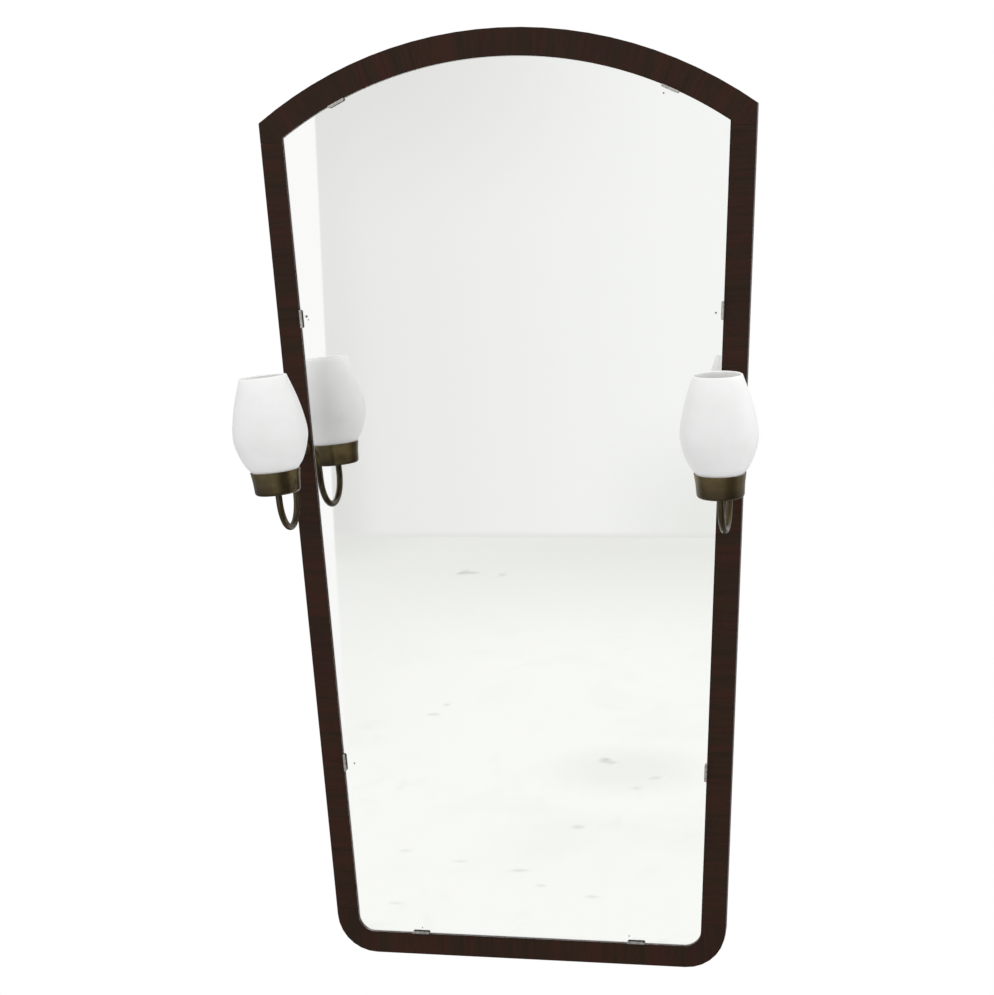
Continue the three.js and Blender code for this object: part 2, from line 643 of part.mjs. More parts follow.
// Bent tube whose front end steps down to the thread that carries the cup.
function armGeometry(path) {
  const section = new THREE.Shape().absarc(0, 0, TUBE_RADIUS, 0, 2 * Math.PI);
  section.holes.push(new THREE.Path().absarc(0, 0, TUBE_BORE, 0, 2 * Math.PI));
  const tube = new THREE.ExtrudeGeometry(section, { steps: 34, curveSegments: 5, extrudePath: path });
  const thread = ring([
    [TUBE_BORE, -2 * CLEAR], [THREAD_RADIUS, -2 * CLEAR], [THREAD_RADIUS, THREAD_LENGTH],
    [TUBE_BORE, THREAD_LENGTH],
  ], 10);
  return geometryOf(join(solidOf(tube), solidOf(thread.applyMatrix4(lampPlace(path)))));
}

// ---- sconce's turned pieces, along +Z ----------------------------------------------------
const bore = TUBE_RADIUS + CLEAR;
const threadBore = THREAD_RADIUS + CLEAR;

const rosetteGeometry = () => ring([
  [bore, 0], [ROSETTE_RADIUS, 0], [ROSETTE_RADIUS, 0.3 * ROSETTE_HEIGHT],
  [0.88 * ROSETTE_RADIUS, 0.62 * ROSETTE_HEIGHT], [0.7 * ROSETTE_RADIUS, 0.9 * ROSETTE_HEIGHT],
  [bore + ROSETTE_LIP, ROSETTE_HEIGHT], [bore, ROSETTE_HEIGHT],
], 20);

const collarGeometry = () => ring([
  [bore, 0], [COLLAR_RADIUS, 0], [COLLAR_RADIUS, COLLAR_HEIGHT - COLLAR_CHAMFER],
  [COLLAR_RADIUS - COLLAR_CHAMFER, COLLAR_HEIGHT], [bore, COLLAR_HEIGHT],
], 20);

const washerGeometry = () => ring([
  [bore, 0], [WASHER_RADIUS, 0], [WASHER_RADIUS, WASHER_THICK], [bore, WASHER_THICK],
], 20);

function nutGeometry(flats, height, hole) {
  const options = { depth: height, bevelEnabled: false, curveSegments: 6 };
  return new THREE.ExtrudeGeometry(hexagon(flats, hole), options);
}

// Quarter of a circle that turns a flat floor up into a cup's wall.
function cupCorner(floor, wall, radius) {
  const points = [];
  for (let i = 0; i <= CUP_CORNER_STEPS; i += 1) {
    const angle = (i * Math.PI) / 2 / CUP_CORNER_STEPS;
    points.push([wall - radius * (1 - Math.sin(angle)), floor + radius * (1 - Math.cos(angle))]);
  }
  return points;
}

function cupGeometry() {
  return ring([
    [threadBore, 0], ...cupCorner(0, CUP_BASE_RADIUS, CUP_CORNER),
    [CUP_TOP_RADIUS, CUP_HEIGHT], [CUP_TOP_RADIUS - CUP_WALL, CUP_HEIGHT],
    ...cupCorner(CUP_WALL, CUP_BASE_RADIUS - CUP_WALL, CUP_CORNER - CUP_WALL).reverse(),
    [threadBore, CUP_WALL],
  ], 28);
}

const nutSeat = CUP_WALL + CLEAR;
const holderFoot = nutSeat + CUP_NUT_HEIGHT + CLEAR;
const holderTop = holderFoot + HOLDER_HEIGHT;
const socketFloor = holderTop - SOCKET_DEPTH;

const holderGeometry = () => ring([
  [threadBore, holderFoot], [HOLDER_RADIUS - HOLDER_FOOT.x, holderFoot],
  [HOLDER_RADIUS, holderFoot + HOLDER_FOOT.y],
  [HOLDER_RADIUS, holderTop], [SOCKET_RADIUS, holderTop], [SOCKET_RADIUS, socketFloor],
  [WIRE_HOLE, socketFloor], [WIRE_HOLE, THREAD_LENGTH + CLEAR], [threadBore, THREAD_LENGTH + CLEAR],
], 18);

const capFoot = socketFloor + CLEAR;
const capTop = capFoot + CAP_LENGTH;

const capGeometry = () => revolve([
  [0, capFoot], [0.4 * CAP_RADIUS, capFoot], [0.55 * CAP_RADIUS, capFoot + CAP_CONTACT],
  [CAP_RADIUS, capFoot + CAP_CONE], [CAP_RADIUS, capTop], [0, capTop],
], 16);

function bulbGeometry() {
  const foot = capTop + CLEAR;
  const line = new THREE.SplineCurve([
    new THREE.Vector2(CAP_RADIUS, foot),
    new THREE.Vector2(CAP_RADIUS + 2, foot + 0.14 * BULB_LENGTH),
    new THREE.Vector2(BULB_RADIUS, foot + 0.42 * BULB_LENGTH),
    new THREE.Vector2(0.72 * BULB_RADIUS, foot + 0.75 * BULB_LENGTH),
    new THREE.Vector2(0.24 * BULB_RADIUS, foot + 0.97 * BULB_LENGTH),
    new THREE.Vector2(0, foot + BULB_LENGTH),
  ]);
  return revolve([[0, foot], ...line.getPoints(10).map((point) => point.toArray())], 16);
}

// Opal shade: an even wall inside a smooth tulip line, with a rounded rim.
function shadeGeometry() {
  const line = new THREE.SplineCurve([
    SHADE_FOOT, SHADE_STEM, SHADE_NECK, SHADE_SHOULDER, SHADE_FLARE, SHADE_BELLY, SHADE_WAIST, SHADE_RIM,
  ]);
  const outside = [];
  const inside = [];
  const steps = 14;             // two for each span of the line
  for (let i = 0; i <= steps; i += 1) {
    const point = line.getPoint(i / steps);
    const along = line.getTangent(i / steps);
    outside.push([point.x, point.y]);
    inside.push([point.x - SHADE_WALL * along.y, Math.max(SHADE_FOOT.y, point.y + SHADE_WALL * along.x)]);
  }
  const crown = [SHADE_RIM.x - SHADE_WALL / 2, SHADE_RIM.y + SHADE_WALL / 2];
  return ring([...outside, crown, ...inside.reverse()], 28);
}

// ---- sconces -----------------------------------------------------------------------------
function addSconce(root) {
  const { side } = root;
  const path = armPath(root);
  const sconce = new THREE.Group();
  sconce.position.set(rootX(root), FACE, root.z);
  sconce.rotation.y = root.sign * root.lean;
  body.add(sconce);

  put(`arm_${side}`, armGeometry(path), brass, sconce);
  put(`rosette_${side}`, facingFront(rosetteGeometry()), brass, sconce, 0, -CLEAR);
  put(`collar_${side}`, facingFront(collarGeometry()), brass, sconce, 0, -ROSETTE_HEIGHT - 2 * CLEAR);
  const washerFront = BOARD - COUNTERBORE + CLEAR;
  const washerBack = washerFront + WASHER_THICK;
  put(`washer_${side}`, facingFront(washerGeometry()), screwSteel, sconce, 0, washerBack);
  const nutBack = washerBack + CLEAR + NUT_HEIGHT;
  put(`nut_${side}`, facingFront(nutGeometry(NUT_FLATS, NUT_HEIGHT, bore)), brass, sconce, 0, nutBack);

  const lamp = new THREE.Group();
  lamp.applyMatrix4(lampPlace(path));
  sconce.add(lamp);
  put(`cup_${side}`, cupGeometry(), brass, lamp);
  put(`cup_nut_${side}`, nutGeometry(CUP_NUT_FLATS, CUP_NUT_HEIGHT, threadBore), brass, lamp, 0, 0, nutSeat);
  put(`lampholder_${side}`, holderGeometry(), bakelite, lamp);
  put(`bulb_cap_${side}`, capGeometry(), clipSteel, lamp);
  put(`bulb_${side}`, bulbGeometry(), bulbGlass, lamp);
  put(`shade_${side}`, shadeGeometry(), opal, lamp);
}

roots.forEach(addSconce);

export default part;
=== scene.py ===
"""Looks of an arched wall mirror with two opal sconces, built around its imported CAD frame."""

import math

import bmesh
import bpy
from mathutils import Matrix, Vector


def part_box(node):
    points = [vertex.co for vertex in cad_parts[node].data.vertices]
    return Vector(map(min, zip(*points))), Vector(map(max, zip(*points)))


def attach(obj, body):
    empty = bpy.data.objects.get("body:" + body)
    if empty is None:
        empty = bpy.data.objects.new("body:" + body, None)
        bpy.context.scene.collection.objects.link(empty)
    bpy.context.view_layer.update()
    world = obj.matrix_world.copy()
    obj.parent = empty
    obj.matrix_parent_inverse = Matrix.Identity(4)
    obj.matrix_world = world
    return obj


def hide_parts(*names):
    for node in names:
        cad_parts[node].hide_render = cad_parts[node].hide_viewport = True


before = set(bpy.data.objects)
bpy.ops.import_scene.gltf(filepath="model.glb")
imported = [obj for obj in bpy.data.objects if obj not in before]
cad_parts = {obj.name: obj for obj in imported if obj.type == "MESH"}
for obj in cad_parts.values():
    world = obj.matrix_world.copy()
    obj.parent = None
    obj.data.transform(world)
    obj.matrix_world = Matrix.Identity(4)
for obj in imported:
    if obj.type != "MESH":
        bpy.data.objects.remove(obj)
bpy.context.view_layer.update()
scene = bpy.context.scene
SIDES = (("left", -1), ("right", 1))

# Sizes in metres, the same as the CAD's.
CLEAR = 0.0003
FACE = -0.025                       # y of the frame's front
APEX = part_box("top_rail")[1].z
ARCH_RADIUS = 0.640
SIDE_TAPER = math.radians(3)
HALF_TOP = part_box("top_rail")[1].x  # upper corner, half the mirror's width
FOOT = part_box("bottom_rail")[0].z
LOWER_RADIUS = 0.064
STILE_FACE = 0.0375
TOP_FACE = 0.042
BOTTOM_FACE = 0.037

GLASS_ARRIS = 0.0006
BACKING = 0.00012                   # paint behind the silver
CLIP_GAUGE = 0.0009
CLIP_WIDTH = 0.028
CLIP_FOOT = 0.016
CLIP_LIP = 0.0036
CLIP_CORNER = 0.0026
CLIP_BEND = 0.0012
CLIP_EDGE = 0.00015

LEAN = {"left": math.radians(4.7), "right": 0.0}
NOD = {"left": math.radians(0.8), "right": math.radians(3.5)}
TOE_IN = math.radians(2.2)
REACH = 0.158
TUBE_RADIUS = 0.005
TUBE_BORE = 0.0028
BEND_RADIUS = 0.040
TURN_RADIUS = 0.046
STUB = REACH - BEND_RADIUS - 2 * TURN_RADIUS
CUP_DROP = 0.046
LEG = 0.013
STUD_LENGTH = 0.0235
THREAD_RADIUS = 0.004
THREAD_LENGTH = 0.012
ROSETTE_RADIUS = 0.011
ROSETTE_HEIGHT = 0.005
COLLAR_RADIUS = 0.0085
COLLAR_HEIGHT = 0.004
TUBE_HOLE = TUBE_RADIUS + CLEAR
THREAD_HOLE = THREAD_RADIUS + CLEAR

CUP_BASE_RADIUS = 0.034
CUP_TOP_RADIUS = 0.0374
CUP_HEIGHT = 0.035
CUP_WAIST = (0.0352, 0.020)         # radius and height where its side turns out to the rim
CUP_WAIST_BEND = 0.06               # radius of that turn
CUP_WALL = 0.0012
CUP_CORNER = 0.005
HOLDER_FOOT = 0.0058
HOLDER_HEIGHT = 0.040
HOLDER_RADIUS = 0.014
SOCKET_RADIUS = 0.008
SOCKET_FLOOR = 0.0178
WIRE_HOLE = 0.0025
CAP_RADIUS = 0.0068
CAP_LENGTH = 0.025
BULB_RADIUS = 0.0175
BULB_LENGTH = 0.074
SHADE_WALL = 0.003
SHADE_LINE = (                      # outer line: radius, height above the cup's underside
    (0.0290, 0.0015), (0.0332, 0.0170), (0.0354, 0.0345), (0.0433, 0.0465),
    (0.0515, 0.0665), (0.0557, 0.0925), (0.0482, 0.1345), (0.0354, 0.1745),
)


# ---- colours and node trees ----------------------------------------------------------------
def rgb(red, green, blue):
    """Linear colour of an sRGB one given from 0 to 255."""
    def linear(value):
        value /= 255
        return value / 12.92 if value <= 0.04045 else ((value + 0.055) / 1.055) ** 2.4
    return (linear(red), linear(green), linear(blue), 1.0)


def grey(level):
    return (level, level, level, 1.0)


class Nodes:
    """A node tree and short calls for what goes into it."""

    def __init__(self, tree):
        self.tree = tree
        tree.nodes.clear()

    def feed(self, socket, value):
        if isinstance(value, bpy.types.NodeSocket):
            self.tree.links.new(value, socket)
        else:
            socket.default_value = value

    def add(self, kind, inputs=None, **settings):
        node = self.tree.nodes.new("ShaderNode" + kind)
        for name, value in settings.items():
            setattr(node, name, value)
        for socket, value in (inputs or {}).items():
            self.feed(node.inputs[socket], value)
        return node

    def math(self, operation, a, b=0.0, clamp=False):
        return self.add("Math", {0: a, 1: b}, operation=operation, use_clamp=clamp).outputs[0]

    def mix(self, factor, a, b):
        return self.add("Mix", {0: factor, 6: a, 7: b}, data_type="RGBA").outputs[2]

    def fit(self, value, low, high, to_low=0.0, to_high=1.0):
        """Takes low..high to to_low..to_high with soft ends."""
        inputs = {0: value, 1: low, 2: high, 3: to_low, 4: to_high}
        return self.add("MapRange", inputs, interpolation_type="SMOOTHSTEP").outputs[0]

    def object_place(self):
        return self.add("TexCoord").outputs["Object"]

    def split(self, vector):
        return self.add("SeparateXYZ", {0: vector}).outputs

    def join(self, x, y, z):
        return self.add("CombineXYZ", {0: x, 1: y, 2: z}).outputs[0]

    def stretch(self, vector, x, y, z):
        return self.add("VectorMath", {0: vector, 1: (x, y, z)}, operation="MULTIPLY").outputs[0]

    def noise(self, vector, scale, detail=3.0, roughness=0.5, distortion=0.0):
        inputs = {
            "Vector": vector, "Scale": scale, "Detail": detail,
            "Roughness": roughness, "Distortion": distortion,
        }
        return self.add("TexNoise", inputs).outputs[0]

    def distance(self, vector, point):
        return self.add("VectorMath", {0: vector, 1: point}, operation="DISTANCE").outputs["Value"]

    def bump(self, height, distance, strength=1.0):
        inputs = {"Strength": strength, "Distance": distance, "Height": height}
        return self.add("Bump", inputs).outputs[0]


class Surface(Nodes):
    """A material with one Principled shader; plain values are set on its sockets directly."""

    def __init__(self, name, **values):
        self.material = bpy.data.materials.new(name)
        self.material.use_nodes = True
        super().__init__(self.material.node_tree)
        self.shader = self.add("BsdfPrincipled")
        output = self.add("OutputMaterial")
        self.feed(output.inputs["Surface"], self.shader.outputs[0])
        self.set(**values)

    def set(self, **values):
        for name, value in values.items():
            self.feed(self.shader.inputs[name.replace("_", " ")], value)


# ---- materials -----------------------------------------------------------------------------
def veneer(name, lay):
    """Dark cross-banded veneer. lay turns (nodes, place) into (along the grain, depth, across)."""
    made = Surface(name, Specular_IOR_Level=0.13, Coat_Weight=0.05, Coat_Roughness=0.22)
    place = made.object_place()
    grain = made.join(*lay(made, place))
    bands = made.noise(made.stretch(grain, 3.0, 6.0, 40.0), 1.0, 2.0, 0.6, 0.4)
    streaks = made.noise(made.stretch(grain, 12.0, 60.0, 220.0), 1.0, 3.0, 0.55, 0.3)
    pores = made.noise(made.stretch(grain, 120.0, 900.0, 2600.0), 1.0, 2.0, 0.5)
    cloud = made.noise(place, 9.0, 2.0)
    colour = made.mix(made.fit(bands, 0.38, 0.62), rgb(43, 28, 14), rgb(52, 25, 15))
    colour = made.mix(made.fit(streaks, 0.42, 0.7, 0.0, 0.36), colour, rgb(26, 14, 8))
    colour = made.mix(made.fit(cloud, 0.4, 0.75, 0.0, 0.5), colour, rgb(36, 22, 13))
    pore = made.fit(pores, 0.60, 0.72, 0.0, 0.8)
    made.set(
        Base_Color=made.mix(pore, colour, rgb(12, 7, 5)),
        Roughness=made.fit(streaks, 0.3, 0.7, 0.36, 0.46),
        Normal=made.bump(pores, 0.00012, 0.35),
    )
    return made.material


def along_x(nodes, place):
    x, y, z = nodes.split(place)
    return x, y, z


def along_z(nodes, place):
    x, y, z = nodes.split(place)
    return z, y, x


def towards_arch_centre(nodes, place):
    """Grain that runs to the centre of the arch, so the veneer fans out along it."""
    x, y, z = nodes.split(place)
    height = nodes.math("SUBTRACT", z, APEX - ARCH_RADIUS)
    angle = nodes.math("ARCTAN2", x, height)
    square = nodes.math("ADD", nodes.math("MULTIPLY", x, x), nodes.math("MULTIPLY", height, height))
    return nodes.math("SQRT", square), y, nodes.math("MULTIPLY", angle, ARCH_RADIUS)


BRIGHT_BRASS = (-0.646, -0.612)     # heights between which the cups' painted reflection turns them from brown to bright


def aged_brass():
    """Lacquered brass gone olive brown, painted brighter towards the cups' rims in place of the
    brighter reflection there.
    """
    made = Surface("aged_brass", Metallic=1.0)
    place = made.object_place()
    patina = made.noise(place, 20.0, 4.0, 0.6, 0.4)
    spots = made.noise(place, 420.0, 3.0, 0.6)
    # Painted reflection: the colour turns from brown to bright by height alone, brighter up the
    # cups.
    towards_rims = made.fit(made.split(place)[2], *BRIGHT_BRASS)
    rim_brass = made.mix(made.fit(patina, 0.35, 0.68), rgb(107, 97, 70), rgb(134, 117, 82))
    brown = made.mix(made.fit(patina, 0.35, 0.68), rgb(77, 68, 53), rgb(95, 83, 62))
    colour = made.mix(towards_rims, brown, rim_brass)
    colour = made.mix(made.fit(spots, 0.6, 0.8, 0.0, 0.25), colour, rgb(60, 51, 42))
    made.set(
        Base_Color=colour,
        Roughness=made.fit(patina, 0.3, 0.7, 0.27, 0.39),
        Normal=made.bump(spots, 0.00004, 0.3),
    )
    return made.material


def opal_glass():
    """Dense white glass with a silky outside."""
    made = Surface(
        "opal_glass", Roughness=0.30, IOR=1.5, Specular_IOR_Level=0.35, Subsurface_Weight=0.7,
        Subsurface_Scale=0.012, Subsurface_Radius=(1.0, 0.97, 0.93), Coat_Weight=0.10,
        Coat_Roughness=0.12,
    )
    place = made.object_place()
    cloud = made.noise(place, 30.0, 3.0)
    seeds = made.noise(place, 700.0, 1.0)
    made.set(
        Base_Color=made.mix(made.fit(cloud, 0.3, 0.7), rgb(245, 244, 242), rgb(249, 248, 246)),
        Normal=made.bump(seeds, 0.00002, 0.15),
    )
    return made.material


def clear_glass():
    made = Surface(
        "plate_glass", Roughness=0.0, IOR=1.5, Transmission_Weight=1.0,
    )
    cloud = made.noise(made.object_place(), 2.0, 2.0)
    made.set(Base_Color=made.mix(cloud, (0.990, 0.995, 0.988, 1.0), (0.994, 0.997, 0.990, 1.0)))
    return made.material


# Spots where the silver has gone beside the clips: x, height below the arch's top, radius.
LOST_SILVER = (
    (-0.317, -0.421, 0.0040), (-0.3145, -0.426, 0.0022), (0.315, -0.428, 0.0030),
    (-0.273, -1.134, 0.0026), (0.244, -0.106, 0.0024), (-0.172, -1.404, 0.0020),
    (0.163, -1.402, 0.0024),
)


def silver():
    """Silvering seen through the glass, with a few spots where it has gone dull."""
    made = Surface("silver", Metallic=1.0)
    place = made.object_place()
    ragged = made.noise(place, 900.0, 3.0, 0.7)
    lost = 0.0
    for x, z, radius in LOST_SILVER:
        away = made.distance(place, (x, FACE, APEX + z))
        rim = made.math("ADD", away, made.math("MULTIPLY", ragged, radius))
        spot = made.fit(rim, 1.15 * radius, 0.85 * radius)
        lost = made.math("MAXIMUM", lost, spot)
    made.set(
        Base_Color=made.mix(lost, (0.965, 0.965, 0.960, 1.0), rgb(120, 116, 112)),
        Roughness=made.math("MULTIPLY", lost, 0.45),
    )
    return made.material


def painted_back():
    made = Surface("mirror_paint", Roughness=0.6)
    brush = made.noise(made.stretch(made.object_place(), 60.0, 1.0, 4.0), 1.0, 3.0)
    made.set(
        Base_Color=made.mix(brush, rgb(92, 84, 78), rgb(112, 102, 94)),
        Normal=made.bump(brush, 0.0001, 0.4),
    )
    return made.material


def metal(name, dark, light, roughness, grain):
    """Plated or plain metal with fine wear. grain is the noise's scale."""
    made = Surface(name, Metallic=1.0)
    place = made.object_place()
    wear = made.noise(place, grain, 4.0, 0.6)
    scratches = made.noise(made.stretch(place, 40.0, 40.0, 900.0), 1.0, 2.0)
    made.set(
        Base_Color=made.mix(made.fit(wear, 0.35, 0.7), dark, light),
        Roughness=made.fit(wear, 0.3, 0.7, roughness, roughness + 0.12),
        Normal=made.bump(scratches, 0.00002, 0.25),
    )
    return made.material


def plywood():
    made = Surface("plywood", Roughness=0.75, Specular_IOR_Level=0.3)
    place = made.object_place()
    rings = made.noise(made.stretch(place, 26.0, 40.0, 1.6), 1.0, 4.0, 0.6, 0.8)
    fibre = made.noise(made.stretch(place, 900.0, 900.0, 30.0), 1.0, 2.0)
    colour = made.mix(made.fit(rings, 0.35, 0.65), rgb(176, 138, 95), rgb(146, 106, 68))
    made.set(
        Base_Color=made.mix(made.fit(fibre, 0.5, 0.75, 0.0, 0.4), colour, rgb(116, 82, 52)),
        Normal=made.bump(fibre, 0.0001, 0.3),
    )
    return made.material


def bakelite():
    made = Surface("bakelite", Roughness=0.35, Specular_IOR_Level=0.5)
    place = made.object_place()
    mottle = made.noise(place, 150.0, 4.0, 0.7, 1.0)
    made.set(
        Base_Color=made.mix(made.fit(mottle, 0.4, 0.7), rgb(34, 26, 22), rgb(52, 36, 28)),
        Normal=made.bump(mottle, 0.00003, 0.2),
    )
    return made.material


def frosted_bulb():
    made = Surface("bulb_glass", Roughness=0.32, Subsurface_Weight=0.3, Subsurface_Scale=0.003)
    haze = made.noise(made.object_place(), 60.0, 2.0)
    made.set(Base_Color=made.mix(haze, rgb(238, 236, 228), rgb(246, 244, 238)))
    return made.material


VENEER_X = veneer("veneer_stile", along_x)
VENEER_Z = veneer("veneer_bottom", along_z)
VENEER_ARCH = veneer("veneer_arch", towards_arch_centre)
BRASS = aged_brass()
OPAL = opal_glass()
GLASS = clear_glass()
SILVER = silver()
PAINT = painted_back()
NICKEL = metal("nickel", rgb(168, 165, 160), rgb(206, 203, 197), 0.16, 260.0)
STEEL = metal("steel", rgb(120, 118, 114), rgb(164, 160, 154), 0.30, 180.0)
PLYWOOD = plywood()
BAKELITE = bakelite()
BULB = frosted_bulb()


# ---- meshes --------------------------------------------------------------------------------
def add_piece(name, body, slot, materials, vertices, faces, stands_for=(), choose=None, sharp=35):
    """A piece from vertices and faces in the row frame, shaded smooth up to the angle sharp."""
    mesh = bpy.data.meshes.new(name)
    mesh.from_pydata(vertices, [], faces)
    tidy = bmesh.new()
    tidy.from_mesh(mesh)
    bmesh.ops.recalc_face_normals(tidy, faces=tidy.faces)
    tidy.to_mesh(mesh)
    tidy.free()
    for material in materials:
        mesh.materials.append(material)
    for polygon in mesh.polygons:
        polygon.use_smooth = True
        if choose:
            polygon.material_index = choose(polygon)
    mesh.set_sharp_from_angle(angle=math.radians(sharp))
    piece = bpy.data.objects.new(name, mesh)
    scene.collection.objects.link(piece)
    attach(piece, body)
    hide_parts(*stands_for)
    return piece


def loft(loops, capped=True):
    """Joins equally long loops of points into a skin, closed at both ends or on itself."""
    count = len(loops[0])
    vertices = [point for loop in loops for point in loop]
    faces = []
    rows = len(loops) - 1 if capped else len(loops)
    for row in range(rows):
        low = row * count
        high = (row + 1) % len(loops) * count
        for i in range(count):
            j = (i + 1) % count
            faces.append((low + i, low + j, high + j, high + i))
    if capped:
        faces.append(tuple(range(count))[::-1])
        faces.append(tuple(range((len(loops) - 1) * count, len(loops) * count)))
    return vertices, faces


def circle(radius, height, segments):
    turn = 2 * math.pi / segments
    return [
        (radius * math.cos(i * turn), radius * math.sin(i * turn), height)
        for i in range(segments)
    ]


def turned(profile, segments=72):
    """A ring turned about Z from a closed profile of (radius, height)."""
    return loft([circle(radius, height, segments) for radius, height in profile], capped=False)


def turned_solid(profile, segments=48):
    """A solid turned about Z from a profile whose ends lie close to the axis."""
    return loft([circle(max(radius, 0.0001), height, segments) for radius, height in profile])


def eased(corners, steps=5):
    """A closed line through corners of (x, y, radius), with each corner rounded."""
    line = []
    for i, (x, y, radius) in enumerate(corners):
        here = Vector((x, y))
        if not radius:
            line.append((x, y))
            continue
        before = (Vector(corners[i - 1][:2]) - here).normalized()
        after = (Vector(corners[(i + 1) % len(corners)][:2]) - here).normalized()
        half = before.angle(after) / 2
        start = here + before * radius / math.tan(half)
        end = here + after * radius / math.tan(half)
        centre = here + (before + after).normalized() * radius / math.sin(half)
        first = start - centre
        sweep = first.angle_signed(end - centre)
        for step in range(steps + 1):
            turn = Matrix.Rotation(-sweep * step / steps, 2)
            line.append(tuple(centre + turn @ first))
    return line


def spline(points, steps):
    """Smooth line through points with its unit directions: [(place, direction)]."""
    found = []
    last = len(points) - 1
    places = [Vector(p) for p in points]
    for i in range(last * steps + 1):
        span = min(i // steps, last - 1)
        t = i / steps - span
        p0, p1 = places[max(span - 1, 0)], places[span]
        p2, p3 = places[span + 1], places[min(span + 2, last)]
        v0, v1 = (p2 - p0) / 2, (p3 - p1) / 2
        a = 2 * p1 - 2 * p2 + v0 + v1
        b = -3 * p1 + 3 * p2 - 2 * v0 - v1
        heading = (3 * a * t**2 + 2 * b * t + v0).normalized()
        found.append((a * t**3 + b * t**2 + v0 * t + p1, heading))
    return found


def facing_front(vertices, y):
    """Lays a piece turned about Z on its back: its upper end faces the viewer, its foot is at y."""
    return [(x, y - z, up) for x, up, z in vertices]


# ---- mirror plate --------------------------------------------------------------------------
def side_x(z, inset):
    """X of the mirror's right side at height z, moved inwards by inset."""
    drop = ARCH_RADIUS - math.sqrt(ARCH_RADIUS**2 - HALF_TOP**2)
    return HALF_TOP + (z - APEX + drop) * math.tan(SIDE_TAPER) - inset / math.cos(SIDE_TAPER)


def glass_outline(inset, y, arch_steps=120, corner_steps=14):
    """The glass's outline moved inwards by inset, at depth y."""
    radius = LOWER_RADIUS - STILE_FACE - inset
    low = FOOT + BOTTOM_FACE + inset + radius
    corner_x = side_x(low, STILE_FACE + inset + radius)
    arch = ARCH_RADIUS - TOP_FACE - inset
    centre = APEX - ARCH_RADIUS
    z = centre
    for _ in range(30):             # closes in on where the side meets the arch
        x = side_x(z, STILE_FACE + inset)
        z = centre + math.sqrt(arch**2 - x**2)
    angle = math.atan2(z - centre, x)
    points = []
    for step in range(corner_steps + 1):
        turn = -math.pi / 2 + (math.pi / 2 - SIDE_TAPER) * step / corner_steps
        points.append((corner_x + radius * math.cos(turn), y, low + radius * math.sin(turn)))
    for step in range(arch_steps + 1):
        turn = angle + (math.pi - 2 * angle) * step / arch_steps
        points.append((arch * math.cos(turn), y, centre + arch * math.sin(turn)))
    for x, _, z in points[corner_steps::-1]:
        points.append((-x, y, z))
    return points


def add_mirror_plate():
    low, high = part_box("mirror_glass")
    loops = []
    for edge, inward in ((high.y, -1), (low.y, 1)):
        steps = range(4)
        for step in steps if inward < 0 else reversed(steps):
            turn = math.pi / 2 * step / 3
            inset = GLASS_ARRIS * (1 - math.sin(turn))
            loops.append(glass_outline(inset, edge + inward * GLASS_ARRIS * (1 - math.cos(turn))))
    vertices, faces = loft(loops)
    plate = add_piece(
        "mirror_plate", "mirror", "silvered_glass", (GLASS, SILVER), vertices, faces,
        ["mirror_glass"], sharp=8,
        choose=lambda polygon: int(polygon.normal.y > 0.99 and polygon.area > 0.1),
    )
    back = high.y + BACKING / 2
    loops = [glass_outline(GLASS_ARRIS, back), glass_outline(GLASS_ARRIS, back + BACKING)]
    backing = add_piece("mirror_backing", "mirror", "silvered_glass", (PAINT,), *loft(loops))
    # Soft light passes the mirror and the panel behind it, to reach the backs of the shades.
    for board in (plate, backing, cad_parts["back_panel"]):
        board.visible_diffuse = False


# ---- clips ---------------------------------------------------------------------------------
def clip_mesh():
    """A bent tongue of sheet metal: foot behind the glass, riser, lip over it. Outwards is +Z."""
    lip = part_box("mirror_glass")[0].y - CLEAR - CLIP_GAUGE / 2
    foot = FACE + CLIP_GAUGE / 2
    riser = CLEAR + CLIP_GAUGE / 2
    bends = eased([
        (foot, -CLIP_FOOT, 0), (foot, riser, CLIP_BEND),
        (lip, riser, CLIP_BEND), (lip, -CLIP_LIP, 0),
    ], steps=6)
    line = [Vector(point) for point in bends]
    finer = []                      # even steps, for the round corners at both ends
    for start, end in zip(line, line[1:]):
        pieces = max(1, int((end - start).length / 0.0004))
        finer += [start.lerp(end, i / pieces) for i in range(pieces)]
    finer.append(line[-1])
    lengths = [0.0]
    for start, end in zip(finer, finer[1:]):
        lengths.append(lengths[-1] + (end - start).length)
    loops = []
    for i, point in enumerate(finer):
        from_end = min(lengths[i], lengths[-1] - lengths[i])
        cut = max(0.0, CLIP_CORNER - from_end)
        half = CLIP_WIDTH / 2 - CLIP_CORNER + math.sqrt(CLIP_CORNER**2 - cut**2)
        before, after = finer[max(i - 1, 0)], finer[min(i + 1, len(finer) - 1)]
        along = (after - before).normalized()
        side = Vector((-along.y, along.x)) * CLIP_GAUGE / 2
        inner, outer = point - side, point + side
        loops.append([
            (-half, inner.x, inner.y), (half, inner.x, inner.y),
            (half, outer.x, outer.y), (-half, outer.x, outer.y),
        ])
    return loft(loops)


